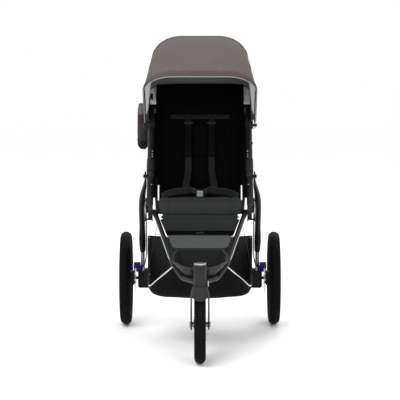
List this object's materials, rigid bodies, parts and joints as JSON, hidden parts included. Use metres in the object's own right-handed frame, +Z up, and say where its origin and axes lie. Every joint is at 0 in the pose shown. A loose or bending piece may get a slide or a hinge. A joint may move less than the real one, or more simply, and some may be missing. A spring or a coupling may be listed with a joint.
{
  "type": "jogging stroller",
  "caption": "Three-wheel jogging stroller with a swivelling front wheel, sprung rear axle, disc brakes, reclining seat, tilting canopy, basket and a linked fold.",
  "frame": {"origin": "on the ground, in the middle of the length and width of the stroller as it stands unfolded", "axes": "+Z up, -Y to the front wheel, +Y to the push handle, +X to the stroller's left seen from the seat, which is the right side seen from the front"},
  "size_m": [0.66, 1.216, 1.1839],
  "materials": {
    "frame_black": "satin black paint",
    "plastic_black": "fine grained moulding",
    "silver": "satin anodised",
    "tyre": "matt tread",
    "canopy_cloth": "heathered weave",
    "seat_cloth": "plain weave",
    "webbing": "woven strap",
    "basket_cloth": "coated cloth and mesh",
    "grip": "stitched leatherette",
    "blue_anodised": "blue anodised",
    "steel": "brushed",
    "buckle_grey": "satin grey",
    "cable_black": "smooth sheath",
    "lining": "light lining",
    "piping": "light piping"
  },
  "bodies": {
    "front_frame": {"front_rail_left": "frame_black", "front_rail_right": "frame_black", "hinge_plates": "frame_black", "seat_cross_tube": "frame_black", "tray_carrier": "frame_black", "head_tube": "frame_black", "head_cap": "silver", "footwell": "plastic_black", "front_apron": "plastic_black", "calf_panel": "seat_cloth", "seat_base": "seat_cloth", "buckle": "plastic_black", "basket": "basket_cloth"},
    "swivel_lock": {"swivel_lock_lever": "silver"},
    "steering_fork": {"fork": "frame_black", "front_axle": "silver"},
    "front_wheel_set": {"front_wheel": "plastic_black", "front_tyre": "tyre"},
    "buckle_release": {"buckle_button": "buckle_grey"},
    "upper_frame": {"upper_tube_left": "frame_black", "upper_tube_right": "frame_black", "hinge_discs": "plastic_black", "tube_sleeves": "plastic_black", "leg_pivots": "plastic_black", "canopy_mounts": "plastic_black", "tube_end_collars": "plastic_black", "upper_cross_bar": "frame_black", "seat_hinge_rod": "frame_black", "side_pouch": "canopy_cloth", "canopy_rear_panel": "canopy_cloth"},
    "left_button": {"height_button_left": "plastic_black"},
    "right_button": {"height_button_right": "plastic_black"},
    "push_handle": {"handlebar": "frame_black", "handlebar_grip": "grip", "lever_bracket": "plastic_black"},
    "hand_brake": {"brake_lever": "plastic_black"},
    "backrest": {"seat_back": "seat_cloth", "seat_back_frame": "frame_black", "harness": "webbing"},
    "canopy_rear_half": {"canopy_main_bow": "plastic_black", "canopy_main_hood": "canopy_cloth"},
    "canopy_front_half": {"canopy_front_bow": "plastic_black", "canopy_front_hood": "canopy_cloth"},
    "fold_links": {"drag_links": "frame_black"},
    "rear_legs": {"rear_leg_left": "frame_black", "rear_leg_right": "frame_black", "brake_cable_loops": "cable_black", "brake_cable_runs": "cable_black"},
    "rear_axle_set": {"shock_rods": "silver", "axle_blocks": "plastic_black", "axle_beam": "frame_black", "brake_calipers": "blue_anodised", "brake_cable_tails": "cable_black"},
    "parking_brake": {"parking_pedal": "plastic_black"},
    "left_wheel_set": {"rear_tyre_left": "tyre", "rear_wheel_left": "plastic_black", "rear_brake_disc_left": "steel"},
    "right_wheel_set": {"rear_tyre_right": "tyre", "rear_wheel_right": "plastic_black", "rear_brake_disc_right": "steel"}
  },
  "joints": [
    {"name": "steering", "type": "hinge", "parent": "front_frame", "child": "steering_fork", "pos_m": [0, -0.542, 0.345], "axis": [0, 0, 1], "continuous": true},
    {"name": "front_wheel_spin", "type": "hinge", "parent": "steering_fork", "child": "front_wheel_set", "pos_m": [0, -0.462, 0.146], "axis": [1, 0, 0], "continuous": true},
    {"name": "swivel_lock_flip", "type": "hinge", "parent": "front_frame", "child": "swivel_lock", "pos_m": [0.03, -0.542, 0.318], "axis": [1, 0, 0], "range_deg": [-70, 0]},
    {"name": "main_fold", "type": "hinge", "parent": "front_frame", "child": "upper_frame", "pos_m": [0, 0.008, 0.51], "axis": [-1, 0, 0], "range_deg": [-130, 0]},
    {"name": "link_swing", "type": "hinge", "parent": "front_frame", "child": "fold_links", "pos_m": [0, 0.0185, 0.4765], "axis": [-1, 0, 0], "range_deg": [-153.86, 0]},
    {"name": "leg_fold", "type": "hinge", "parent": "upper_frame", "child": "rear_legs", "pos_m": [0, 0.14166, 0.63412], "axis": [1, 0, 0], "range_deg": [-70.5, 0], "deforming": ["brake_cable_loops"]},
    {"name": "suspension", "type": "slide", "parent": "rear_legs", "child": "rear_axle_set", "axis": [0, -0.4051, 0.9143], "range_m": [0, 0.025], "stiffness_N_per_m": 9000, "springref_m": -0.016, "deforming": ["brake_cable_tails"]},
    {"name": "left_wheel_spin", "type": "hinge", "parent": "rear_axle_set", "child": "left_wheel_set", "pos_m": [-0.3035, 0.338, 0.191], "axis": [1, 0, 0], "continuous": true},
    {"name": "right_wheel_spin", "type": "hinge", "parent": "rear_axle_set", "child": "right_wheel_set", "pos_m": [0.3035, 0.338, 0.191], "axis": [1, 0, 0], "continuous": true},
    {"name": "parking_pedal_press", "type": "hinge", "parent": "rear_axle_set", "child": "parking_brake", "pos_m": [0, 0.358, 0.211], "axis": [1, 0, 0], "range_deg": [-22, 0]},
    {"name": "handle_height", "type": "slide", "parent": "upper_frame", "child": "push_handle", "axis": [0, 0.7328, 0.6805], "range_m": [0, 0.07]},
    {"name": "brake_squeeze", "type": "hinge", "parent": "push_handle", "child": "hand_brake", "pos_m": [0.128, 0.56005, 1.04077], "axis": [0, 0.3401, -0.9404], "range_deg": [0, 11], "stiffness_Nm_per_rad": 0.8, "springref_deg": -20.05},
    {"name": "left_button_press", "type": "slide", "parent": "upper_frame", "child": "left_button", "axis": [1, 0, 0], "range_m": [0, 0.0022], "stiffness_N_per_m": 600, "springref_m": -0.002},
    {"name": "right_button_press", "type": "slide", "parent": "upper_frame", "child": "right_button", "axis": [-1, 0, 0], "range_m": [0, 0.0022], "stiffness_N_per_m": 600, "springref_m": -0.002},
    {"name": "recline", "type": "hinge", "parent": "upper_frame", "child": "backrest", "pos_m": [0, 0.205, 0.478], "axis": [1, 0, 0], "range_deg": [-25, 0]},
    {"name": "canopy_tilt", "type": "hinge", "parent": "upper_frame", "child": "canopy_rear_half", "pos_m": [0, 0.34288, 0.82097], "axis": [1, 0, 0], "range_deg": [-40, 0]},
    {"name": "canopy_front_fold", "type": "hinge", "parent": "canopy_rear_half", "child": "canopy_front_half", "pos_m": [0, 0.34288, 0.82097], "axis": [1, 0, 0], "range_deg": [-32.5, 0]},
    {"name": "buckle_press", "type": "slide", "parent": "front_frame", "child": "buckle_release", "axis": [0, 1, 0], "range_m": [0, 0.003], "stiffness_N_per_m": 500, "springref_m": -0.002}
  ],
  "couplings": [
    {"joint": "link_swing", "follows": "main_fold", "ratio": 1.1797},
    {"joint": "leg_fold", "follows": "main_fold", "ratio": 0.53846},
    {"joint": "canopy_front_fold", "follows": "main_fold", "ratio": 0.24615}
  ]
}
